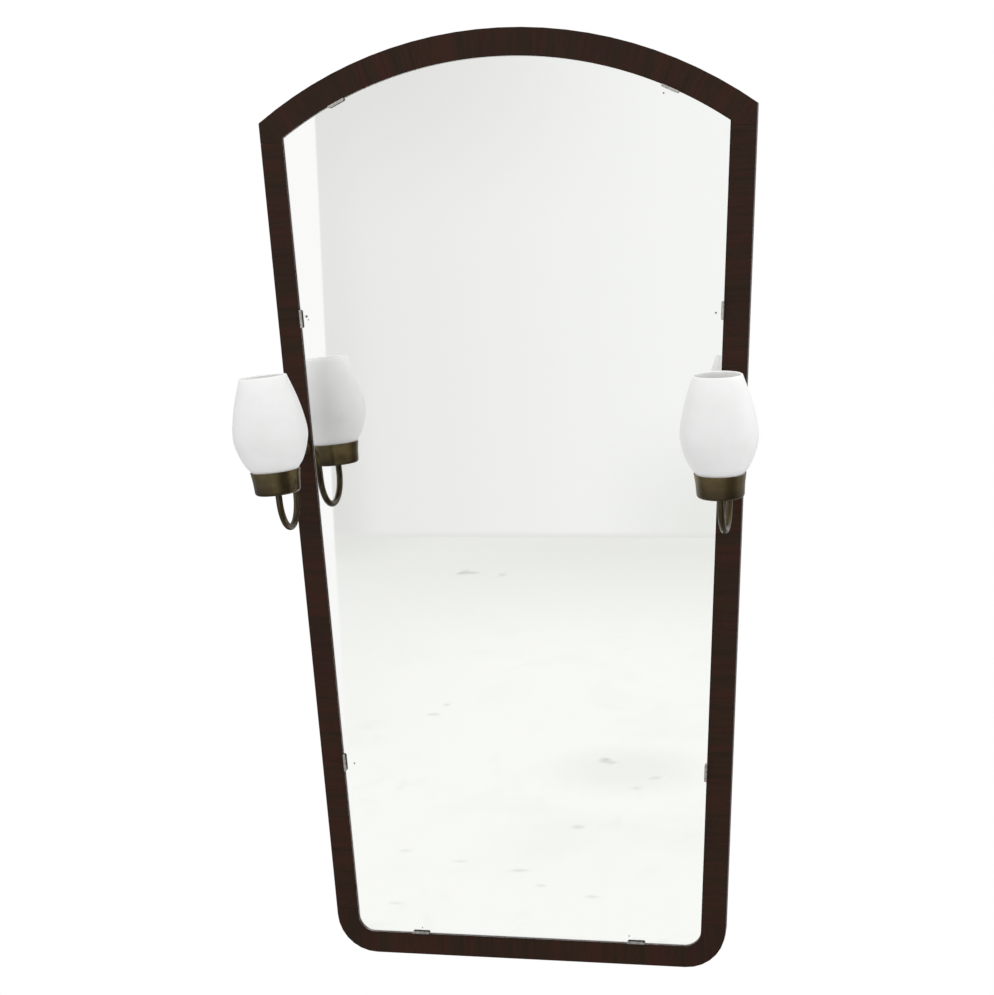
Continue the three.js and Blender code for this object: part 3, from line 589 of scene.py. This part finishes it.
def add_clips():
    arch = ARCH_RADIUS - TOP_FACE
    vertices, faces = clip_mesh()
    for side, sign in SIDES:
        for level in ("top", "upper", "lower", "bottom"):
            name = f"{level}_{side}"
            low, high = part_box(f"clip_{name}")
            middle = (low + high) / 2
            if level == "top":
                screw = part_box(f"clip_screw_{name}")
                turn = math.atan2(
                    (screw[0].x + screw[1].x) / 2,
                    (screw[0].z + screw[1].z) / 2 - APEX + ARCH_RADIUS,
                )
                height = APEX - ARCH_RADIUS + arch * math.cos(turn)
                place = Vector((arch * math.sin(turn), 0, height))
            elif level == "bottom":
                turn = math.pi
                place = Vector((middle.x, 0, FOOT + BOTTOM_FACE))
            else:
                turn = sign * (math.pi / 2 + SIDE_TAPER)
                place = Vector((sign * side_x(middle.z, STILE_FACE), 0, middle.z))
            matrix = Matrix.Translation(place) @ Matrix.Rotation(turn, 4, "Y")
            moved = [matrix @ Vector(v) for v in vertices]
            clip = add_piece(
                f"spring_clip_{name}", "mirror", "clip_steel", (NICKEL,), moved, faces,
                [f"clip_{name}"],
            )
            bevel = clip.modifiers.new("edge", "BEVEL")
            bevel.width = CLIP_EDGE
            bevel.segments = 2
            bevel.angle_limit = math.radians(50)


# ---- sconces -------------------------------------------------------------------------------
def arm_stations(nod):
    """Places along the arm from its rear end to its front one, all at x = 0: [(place, heading)]."""
    stations = []
    place = Vector((0, STUD_LENGTH, 0))
    heading = math.pi
    moves = (
        (STUD_LENGTH + STUB, 0, 0), (0, math.pi / 2, BEND_RADIUS),
        (CUP_DROP + LEG - BEND_RADIUS, 0, 0), (0, nod - math.pi, TURN_RADIUS), (LEG - CLEAR, 0, 0),
    )
    for run, turn, radius in moves:
        steps = 6 if run else round(abs(turn) * 16)
        for _ in range(steps):
            stations.append((place.copy(), heading))
            half = turn / steps / 2
            heading += half
            place += (run / steps + 2 * radius * math.sin(abs(half))) * towards(heading)
            heading += half
    stations.append((place.copy(), heading))
    return stations


def towards(heading):
    return Vector((0, math.cos(heading), math.sin(heading)))


def swing(sign):
    """Turn of the arm's front part about its hanging leg."""
    hinge = Matrix.Translation((0, -STUB - BEND_RADIUS, 0))
    return hinge @ Matrix.Rotation(-sign * TOE_IN, 4, "Z") @ hinge.inverted()


def arm_mesh(sign, nod, sides=32):
    stations = arm_stations(nod)
    rim = 0.0004
    rear, back = stations[0]
    tip, up = stations[-1]
    foot = tip + CLEAR * towards(up)
    outside = [(rear, back, TUBE_RADIUS - rim), (rear + rim * towards(back), back, TUBE_RADIUS)]
    outside += [(place, heading, TUBE_RADIUS) for place, heading in stations[1:-1]]
    front = [
        (tip - rim * towards(up), up, TUBE_RADIUS),
        (tip, up, TUBE_RADIUS - rim), (tip, up, THREAD_RADIUS),
        (foot + (THREAD_LENGTH - rim) * towards(up), up, THREAD_RADIUS),
        (foot + THREAD_LENGTH * towards(up), up, THREAD_RADIUS - rim),
        (foot + THREAD_LENGTH * towards(up), up, TUBE_BORE),
    ]
    bore = [(place, heading, TUBE_BORE) for place, heading in reversed(stations)]
    turned_part = swing(sign)
    loops = []
    for place, heading, radius in outside + front + bore:
        across = Vector((0, -math.sin(heading), math.cos(heading)))
        loop = []
        for i in range(sides):
            turn = 2 * math.pi * i / sides
            spoke = math.cos(turn) * Vector((1, 0, 0)) + math.sin(turn) * across
            loop.append(place + radius * spoke)
        if place.y < CLEAR - STUB - BEND_RADIUS:
            loop = [turned_part @ point for point in loop]
        loops.append(loop)
    return loft(loops, capped=False)


def cup_profile():
    radius, height = CUP_WAIST
    return eased([
        (THREAD_HOLE, 0, 0), (CUP_BASE_RADIUS, 0, CUP_CORNER), (radius, height, CUP_WAIST_BEND),
        (CUP_TOP_RADIUS, CUP_HEIGHT, 0.0004), (CUP_TOP_RADIUS - CUP_WALL, CUP_HEIGHT, 0.0004),
        (radius - CUP_WALL, height, CUP_WAIST_BEND),
        (CUP_BASE_RADIUS - CUP_WALL, CUP_WALL, CUP_CORNER - CUP_WALL),
        (THREAD_HOLE, CUP_WALL, 0),
    ], steps=8)


def shade_profile(steps=8):
    line = spline(SHADE_LINE, steps)
    outside = [tuple(place) for place, _ in line]
    inside = []
    for place, along in line:
        inward = Vector((-along.y, along.x)) * SHADE_WALL
        inside.append((place.x + inward.x, max(SHADE_LINE[0][1], place.y + inward.y)))
    rim, along = line[-1]
    middle = (rim + Vector(inside[-1])) / 2
    out = rim - middle
    crown = []
    for step in range(1, 8):
        turn = math.pi * step / 8
        crown.append(tuple(middle + out * math.cos(turn) + along * SHADE_WALL / 2 * math.sin(turn)))
    return outside + crown + inside[::-1]


def holder_profile():
    top = HOLDER_FOOT + HOLDER_HEIGHT
    return eased([
        (THREAD_HOLE, HOLDER_FOOT, 0), (HOLDER_RADIUS - 0.003, HOLDER_FOOT, 0.001),
        (HOLDER_RADIUS, HOLDER_FOOT + 0.004, 0.001), (HOLDER_RADIUS, top, 0.0012),
        (SOCKET_RADIUS, top, 0.0006), (SOCKET_RADIUS, SOCKET_FLOOR, 0.0004),
        (WIRE_HOLE, SOCKET_FLOOR, 0), (WIRE_HOLE, THREAD_LENGTH + CLEAR, 0),
        (THREAD_HOLE, THREAD_LENGTH + CLEAR, 0),
    ])


def cap_profile():
    """Bulb's cap with the rounded ridges of its thread."""
    foot = SOCKET_FLOOR + CLEAR
    line = [(0, foot), (0.4 * CAP_RADIUS, foot), (0.55 * CAP_RADIUS, foot + 0.002)]
    turns = 6
    start, end = foot + 0.004, foot + CAP_LENGTH - 0.003
    for step in range(turns * 8 + 1):
        height = start + (end - start) * step / (turns * 8)
        line.append((CAP_RADIUS - 0.0003 * (1 - math.cos(2 * math.pi * step / 8)), height))
    line += [(CAP_RADIUS, foot + CAP_LENGTH), (0, foot + CAP_LENGTH)]
    return line


def bulb_profile():
    foot = SOCKET_FLOOR + 2 * CLEAR + CAP_LENGTH
    line = spline([
        (CAP_RADIUS, foot), (CAP_RADIUS + 0.002, foot + 0.14 * BULB_LENGTH),
        (BULB_RADIUS, foot + 0.42 * BULB_LENGTH), (0.72 * BULB_RADIUS, foot + 0.75 * BULB_LENGTH),
        (0.24 * BULB_RADIUS, foot + 0.97 * BULB_LENGTH), (0, foot + BULB_LENGTH),
    ], 6)
    return [(0, foot)] + [tuple(place) for place, _ in line]


def rosette_profile():
    return eased([
        (TUBE_HOLE, 0, 0), (ROSETTE_RADIUS, 0, 0.0003),
        (ROSETTE_RADIUS, 0.3 * ROSETTE_HEIGHT, 0.0005),
        (0.86 * ROSETTE_RADIUS, 0.66 * ROSETTE_HEIGHT, 0.004),
        (TUBE_HOLE + 0.0015, ROSETTE_HEIGHT, 0.0006), (TUBE_HOLE, ROSETTE_HEIGHT, 0),
    ])


def collar_profile():
    return eased([
        (TUBE_HOLE, 0, 0), (COLLAR_RADIUS, 0, 0.0003), (COLLAR_RADIUS, COLLAR_HEIGHT, 0.001),
        (TUBE_HOLE, COLLAR_HEIGHT, 0.0002),
    ])


def add_sconce(side, sign):
    nod = NOD[side]
    low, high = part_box(f"rosette_{side}")
    root = Vector(((low.x + high.x) / 2, FACE, (low.z + high.z) / 2))
    sconce = Matrix.Translation(root) @ Matrix.Rotation(sign * LEAN[side], 4, "Y")
    tip, up = arm_stations(nod)[-1]
    foot = Matrix.Translation(tip + CLEAR * towards(up))
    lamp = sconce @ swing(sign) @ foot @ Matrix.Rotation(nod, 4, "X")

    def add(name, body, slot, material, matrix, mesh, node):
        vertices, faces = mesh
        moved = [matrix @ Vector(v) for v in vertices]
        add_piece(f"{name}_{side}", body, slot, (material,), moved, faces, [f"{node}_{side}"])

    def facing(profile, foot):
        vertices, faces = turned(profile, 64)
        return facing_front(vertices, foot), faces

    collar_foot = -ROSETTE_HEIGHT - 2 * CLEAR
    arm = f"sconce_{side}"
    add("swan_neck", arm, "aged_brass", BRASS, sconce, arm_mesh(sign, nod), "arm")
    rose, collar = facing(rosette_profile(), -CLEAR), facing(collar_profile(), collar_foot)
    add("wall_rose", "mirror", "aged_brass", BRASS, sconce, rose, "rosette")
    add("arm_collar", arm, "aged_brass", BRASS, sconce, collar, "collar")
    add("brass_cup", arm, "aged_brass", BRASS, lamp, turned(cup_profile(), 96), "cup")
    add("holder", arm, "bakelite", BAKELITE, lamp, turned(holder_profile()), "lampholder")
    bulb, cap = f"bulb_{side}", turned_solid(cap_profile())
    add("lamp_cap", bulb, "clip_steel", NICKEL, lamp, cap, "bulb_cap")
    add("lamp_bulb", bulb, "bulb_glass", BULB, lamp, turned_solid(bulb_profile(), 64), "bulb")
    shade = turned(shade_profile(), 128)
    add("opal_shade", f"shade_{side}", "opal_glass", OPAL, lamp, shade, "shade")


# ---- CAD nodes that stay -------------------------------------------------------------------
def smoothing(angle):
    """Node group that welds a mesh and shades it smooth except across edges sharper than angle."""
    group = bpy.data.node_groups.new("smooth_by_angle", "GeometryNodeTree")
    for name, way in (("Geometry", "INPUT"), ("Geometry", "OUTPUT")):
        group.interface.new_socket(name, in_out=way, socket_type="NodeSocketGeometry")
    nodes = {}
    for name, kind in (
        ("start", "NodeGroupInput"), ("weld", "GeometryNodeMergeByDistance"),
        ("faces", "GeometryNodeSetShadeSmooth"), ("edges", "GeometryNodeSetShadeSmooth"),
        ("angle", "GeometryNodeInputMeshEdgeAngle"), ("sharp", "FunctionNodeCompare"),
        ("end", "NodeGroupOutput"),
    ):
        nodes[name] = group.nodes.new(kind)
    nodes["weld"].inputs["Distance"].default_value = 1e-6
    nodes["edges"].domain = "EDGE"
    nodes["edges"].inputs["Shade Smooth"].default_value = False
    nodes["sharp"].inputs[1].default_value = math.radians(angle)
    for source, target, socket in (
        ("start", "weld", 0), ("weld", "faces", 0), ("faces", "edges", 0), ("edges", "end", 0),
        ("angle", "sharp", 0), ("sharp", "edges", 1),
    ):
        group.links.new(nodes[source].outputs[0], nodes[target].inputs[socket])
    return group


SMOOTH_ANGLE = 28                   # degrees between faces that still shade as one
KEPT = {
    "top_rail": VENEER_ARCH, "bottom_rail": VENEER_Z,
    "left_stile": VENEER_X, "right_stile": VENEER_X,
    "back_panel": PLYWOOD, "terminal_block": BAKELITE, "nut_left": BRASS, "nut_right": BRASS,
    "cup_nut_left": BRASS, "cup_nut_right": BRASS,
}


def finish_kept_nodes():
    group = smoothing(SMOOTH_ANGLE)
    for name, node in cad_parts.items():
        if node.hide_render:
            continue
        mesh = node.data
        if "custom_normal" in mesh.attributes:
            mesh.attributes.remove(mesh.attributes["custom_normal"])
        mesh.materials.clear()
        mesh.materials.append(KEPT.get(name, STEEL))
        node.modifiers.new("smooth", "NODES").node_group = group


# ---- room, light and camera ----------------------------------------------------------------
WALL_Y = -4.6                       # wall that the mirror shows
FLOOR_Z = -1.561
ROOM_HALF = 9.0
ROOM_CORNER = -1.70                 # x where the reflected wall turns
SIDE_WALL_SLOPE = 0.311             # x per y of the side wall's foot
ROOM_EDGE = 0.006                   # half the blur of the corner's line
STAIN = (-0.06, -1.53, 0.0)         # middle of the grey patch on the floor
MIRROR_TINT = (0.945, 0.945, 0.927)  # share of red, green and blue that the mirror gives back
# Angles from straight ahead of the mirror to its right where the dark part begins, is full,
# begins to fade and ends, as the brass sees it and as the mirror shows it.
DARK_PART = tuple(math.radians(angle) for angle in (12, 46, 76, 100))
MIRRORED_DARK_PART = tuple(math.radians(angle) for angle in (-2, 24, 74, 92))
DARK_ROOM = (0.06, 0.045, 0.03, 1.0)
MIRRORED_LIGHT = 1.2

SOFT_FROM = (0.36, 0.42, 0.83)      # where most of the soft light comes from
SOFT_LIGHT = (0.86, 1.19)           # away from there and from there
CEILING_LIGHT = 1.5
KEY_PLACE = (2.3, -2.6, 1.3)
KEY_TARGET = (0, 0, -0.7)
KEY_SIZE = 1.2
KEY_POWER = 5.0


def ray_kinds(nodes):
    return nodes.add("LightPath").outputs


def room_material(name, colour):
    """Glows with colour, which depends on the place and on what the ray has met before."""
    material = bpy.data.materials.new(name)
    material.use_nodes = True
    nodes = Nodes(material.node_tree)
    glow = nodes.add("Emission", {"Color": colour(nodes)})
    output = nodes.add("OutputMaterial")
    nodes.feed(output.inputs["Surface"], glow.outputs[0])
    return material


def behind_glass(red, green, blue):
    """Colour that looks like the given one when the mirror shows it."""
    seen = rgb(red, green, blue)
    return tuple(part / tint for part, tint in zip(seen, MIRROR_TINT)) + (1.0,)


def dark_part(nodes, x, y, angles):
    """How far a direction lies in the dark part of the room, right of the mirror."""
    azimuth = nodes.math("ARCTAN2", x, nodes.math("MULTIPLY", y, -1.0))
    start, full, fading, end = angles
    return nodes.math("MULTIPLY", nodes.fit(azimuth, start, full), nodes.fit(azimuth, end, fading))


def mirrored_room(nodes, colour, x, y, away=1.0):
    """Adds the room's dark part, which a camera left of the mirror sees too, and plain light for
    all that is lit by way of the mirror. away says how much of the dark part counts here."""
    dark = dark_part(nodes, x, y, MIRRORED_DARK_PART)
    colour = nodes.mix(nodes.math("MULTIPLY", dark, away), colour, DARK_ROOM)
    lit = nodes.math("GREATER_THAN", ray_kinds(nodes)["Diffuse Depth"], 0.5)
    return nodes.mix(lit, colour, grey(MIRRORED_LIGHT))


def wall_colour(nodes):
    x, y, z = nodes.split(nodes.object_place())
    # Painted light and shade of the room: the wall is darker to the left, at its top left, at its
    # lower right and in the corner, and the side wall beyond the corner is lighter.
    side = nodes.fit(x, -2.2, 0.1)
    colour = nodes.mix(side, behind_glass(229, 229, 226), behind_glass(244, 245, 242))
    upper = nodes.math("MULTIPLY", nodes.fit(z, -0.4, 0.3, 0.0, 0.85), nodes.fit(x, -0.2, -1.6))
    colour = nodes.mix(upper, colour, behind_glass(222, 222, 219))
    low = nodes.fit(z, -1.0, -1.5)
    right = nodes.math("MULTIPLY", low, nodes.fit(x, -0.75, -0.2, 0.0, 0.9))
    colour = nodes.mix(right, colour, behind_glass(230, 231, 226))
    corner = nodes.math(
        "MULTIPLY", nodes.fit(z, -0.4, -1.5, 0.3, 1.0), nodes.fit(x, -1.48, -1.68, 0.0, 0.8),
    )
    colour = nodes.mix(corner, colour, behind_glass(219, 219, 215))
    joint = nodes.fit(z, FLOOR_Z + 0.03, FLOOR_Z + 0.002, 0.0, 0.9)
    colour = nodes.mix(joint, colour, behind_glass(226, 226, 221))
    strip = nodes.fit(x, ROOM_CORNER + ROOM_EDGE, ROOM_CORNER - ROOM_EDGE)
    colour = nodes.mix(strip, colour, behind_glass(249, 249, 247))
    return mirrored_room(nodes, colour, x, y)


# Marks on the floor: x, y, half its width, half its depth, how dark.
FLOOR_MARKS = (
    (-1.0, -3.88, 0.022, 0.05, 0.9), (-0.97, -3.88, 0.034, 0.03, 0.7),
    (-0.85, -3.85, 0.016, 0.04, 0.5), (-0.628, -2.07, 0.008, 0.014, 0.8),
    (-0.64, -1.97, 0.02, 0.016, 0.5), (-0.125, -1.6, 0.018, 0.02, 0.7),
    (-0.11, -1.585, 0.014, 0.014, 0.6), (0.01, -1.47, 0.014, 0.014, 0.5),
    (-0.02, -1.39, 0.012, 0.014, 0.45), (-0.107, -1.1, 0.014, 0.016, 0.5),
    (-0.44, -0.91, 0.016, 0.012, 0.4), (-0.31, -0.86, 0.018, 0.01, 0.35),
    (-0.18, -0.82, 0.02, 0.011, 0.45), (-0.12, -0.74, 0.012, 0.01, 0.4),
    (-0.01, -0.69, 0.016, 0.01, 0.4), (-0.38, -0.61, 0.014, 0.01, 0.4),
)


def floor_colour(nodes):
    place = nodes.object_place()
    x, y, _ = nodes.split(place)
    # Painted light and shade: the floor is darker towards the wall, in the corner and to the left;
    # the clouds, scuffs, stain and marks below are the floor's own.
    near = nodes.fit(y, WALL_Y, -2.4)
    colour = nodes.mix(near, behind_glass(231, 232, 227), behind_glass(249, 250, 245))
    corner = nodes.math("MULTIPLY", nodes.fit(x, -1.2, -1.65), nodes.fit(y, -3.6, WALL_Y, 0.0, 0.9))
    colour = nodes.mix(corner, colour, behind_glass(214, 215, 210))
    left = nodes.math("MULTIPLY", nodes.fit(x, -0.4, -1.4, 0.0, 0.5), nodes.fit(y, -1.2, -2.0))
    colour = nodes.mix(left, colour, behind_glass(234, 235, 230))
    clouds = nodes.noise(place, 2.3, 4.0, 0.6, 0.5)
    colour = nodes.mix(nodes.fit(clouds, 0.50, 0.72, 0.0, 0.4), colour, behind_glass(238, 240, 234))
    scuffs = nodes.noise(nodes.stretch(place, 9.0, 5.0, 0.0), 1.0, 5.0, 0.7, 0.8)
    colour = nodes.mix(nodes.fit(scuffs, 0.56, 0.74, 0.0, 0.5), colour, behind_glass(237, 239, 232))
    ragged = nodes.noise(place, 34.0, 5.0, 0.75, 0.6)
    stain = nodes.distance(nodes.stretch(place, 1.0, 1.0, 0.0), STAIN)
    stain = nodes.math("ADD", stain, nodes.math("MULTIPLY", ragged, 0.16))
    colour = nodes.mix(nodes.fit(stain, 0.34, 0.12, 0.0, 0.8), colour, behind_glass(238, 239, 234))
    for mark_x, mark_y, wide, deep, level in FLOOR_MARKS:
        away = nodes.distance(
            nodes.stretch(place, 1 / wide, 1 / deep, 0.0), (mark_x / wide, mark_y / deep, 0.0),
        )
        reach = nodes.math("ADD", away, nodes.math("MULTIPLY", ragged, 2.4))
        spot = nodes.fit(reach, 2.6, 1.2, 0.0, level)
        colour = nodes.mix(spot, colour, behind_glass(206, 206, 199))
    # Foot of the side wall, which runs forward from the corner.
    forward = nodes.math("SUBTRACT", y, WALL_Y)
    edge = nodes.math("SUBTRACT", x, nodes.math("MULTIPLY", forward, SIDE_WALL_SLOPE))
    strip = nodes.fit(edge, ROOM_CORNER + ROOM_EDGE, ROOM_CORNER - ROOM_EDGE)
    colour = nodes.mix(strip, colour, behind_glass(248, 248, 246))
    return mirrored_room(nodes, colour, x, y, nodes.fit(y, -2.2, -3.4))


def add_stage(name, material, corners):
    mesh = bpy.data.meshes.new(name)
    mesh.from_pydata(corners, [], [(0, 1, 2, 3)])
    mesh.materials.append(material)
    made = bpy.data.objects.new(name, mesh)
    scene.collection.objects.link(made)
    made.visible_camera = False
    made.visible_diffuse = False
    made.visible_glossy = False
    made.visible_shadow = False


def build_room():
    """Pale wall and floor that only the mirror shows."""
    wall, far = ROOM_HALF, ROOM_HALF / 2
    add_stage("room_wall", room_material("room_wall", wall_colour), [
        (-wall, WALL_Y, FLOOR_Z), (wall, WALL_Y, FLOOR_Z),
        (wall, WALL_Y, far), (-wall, WALL_Y, far),
    ])
    add_stage("room_floor", room_material("room_floor", floor_colour), [
        (-wall, WALL_Y, FLOOR_Z), (wall, WALL_Y, FLOOR_Z),
        (wall, wall, FLOOR_Z), (-wall, wall, FLOOR_Z),
    ])


def build_world():
    """White for the camera, a pale room with darker parts for metal, soft light for the rest."""
    world = bpy.data.worlds.new("studio")
    scene.world = world
    world.use_nodes = True
    nodes = Nodes(world.node_tree)
    direction = nodes.add("TexCoord").outputs["Generated"]
    x, y, z = nodes.split(direction)
    rays = ray_kinds(nodes)
    room = nodes.mix(nodes.fit(z, -0.7, 0.3), grey(0.34), grey(0.92))
    azimuth = nodes.math("ARCTAN2", x, nodes.math("MULTIPLY", y, -1.0))
    side = nodes.fit(azimuth, math.radians(-60), math.radians(-95), 0.0, 0.6)
    room = nodes.mix(side, room, (0.20, 0.21, 0.24, 1.0))
    mirrored = mirrored_room(nodes, room, x, y)
    dark = nodes.math("MULTIPLY", dark_part(nodes, x, y, DARK_PART), 0.85)
    room = nodes.mix(dark, room, DARK_ROOM)
    source = tuple(Vector(SOFT_FROM).normalized())
    dot = nodes.add("VectorMath", {0: direction, 1: source}, operation="DOT_PRODUCT")
    weak, strong = (grey(level) for level in SOFT_LIGHT)
    soft = nodes.mix(nodes.fit(dot.outputs["Value"], -0.9, 0.95), weak, strong)
    soft = nodes.mix(nodes.fit(z, 0.7, 0.95), soft, grey(CEILING_LIGHT))
    light = nodes.mix(rays["Is Glossy Ray"], soft, room)
    light = nodes.mix(rays["Is Transmission Ray"], light, mirrored)
    light = nodes.mix(rays["Is Camera Ray"], light, grey(1.0))
    background = nodes.add("Background", {"Color": light})
    output = nodes.add("OutputWorld")
    nodes.feed(output.inputs["Surface"], background.outputs[0])


def add_lamp(name, place, target, size, power):
    light = bpy.data.lights.new(name, "AREA")
    light.shape = "DISK"
    light.size = size
    light.energy = power
    lamp = bpy.data.objects.new(name, light)
    lamp.location = place
    lamp.rotation_euler = (Vector(target) - Vector(place)).to_track_quat("-Z", "Y").to_euler()
    scene.collection.objects.link(lamp)


CAMERA_PLACE = Vector((0.60956, -2.93826, -0.21346))
CAMERA_YAW = math.radians(12.307)
CAMERA_PITCH = math.radians(-8.812)
CAMERA_ROLL = math.radians(-1.937)
CAMERA_LENS = 71.06


def add_camera():
    forward = Vector((
        -math.sin(CAMERA_YAW) * math.cos(CAMERA_PITCH),
        math.cos(CAMERA_YAW) * math.cos(CAMERA_PITCH),
        math.sin(CAMERA_PITCH),
    ))
    level = Vector((math.cos(CAMERA_YAW), math.sin(CAMERA_YAW), 0))
    upright = level.cross(forward)
    right = level * math.cos(CAMERA_ROLL) + upright * math.sin(CAMERA_ROLL)
    up = upright * math.cos(CAMERA_ROLL) - level * math.sin(CAMERA_ROLL)
    data = bpy.data.cameras.new("camera")
    data.sensor_fit = "HORIZONTAL"
    data.sensor_width = 36.0
    data.lens = CAMERA_LENS
    camera = bpy.data.objects.new("camera", data)
    turn = Matrix((right, up, -forward)).transposed().to_4x4()
    camera.matrix_world = Matrix.Translation(CAMERA_PLACE) @ turn
    scene.collection.objects.link(camera)
    scene.camera = camera


add_mirror_plate()
add_clips()
for side, sign in SIDES:
    add_sconce(side, sign)
finish_kept_nodes()
build_room()
build_world()
add_lamp("key", KEY_PLACE, KEY_TARGET, KEY_SIZE, KEY_POWER)
add_camera()
scene.view_settings.view_transform = "Standard"
